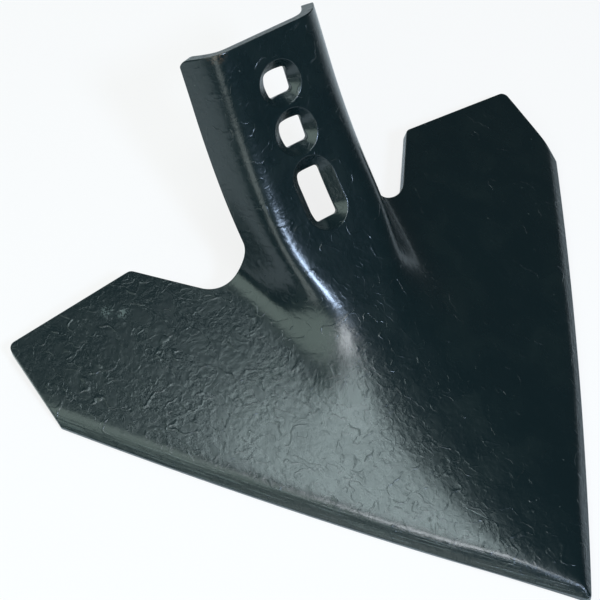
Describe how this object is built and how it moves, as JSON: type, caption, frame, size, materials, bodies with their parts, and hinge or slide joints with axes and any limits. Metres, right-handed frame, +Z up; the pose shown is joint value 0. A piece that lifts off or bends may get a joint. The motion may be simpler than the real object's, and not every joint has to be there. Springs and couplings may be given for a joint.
{
  "type": "duckfoot share",
  "caption": "V-shaped pressed steel cultivator share: two flat wings with ground cutting edges and a raised channel stem with square bolt holes and a slot.",
  "frame": {"origin": "middle of the share's footprint, on the level that both cutting edges rest on", "axes": "+X the way the share is pulled, towards its point; +Y one wing; +Z up"},
  "size_m": [0.302, 0.322, 0.1335],
  "materials": {
    "black_paint": "glossy black dip paint over pressed steel, with a slight green tint, runs and small scuffs"
  },
  "bodies": {
    "root": {"duckfoot_share": "black_paint"}
  },
  "joints": []
}
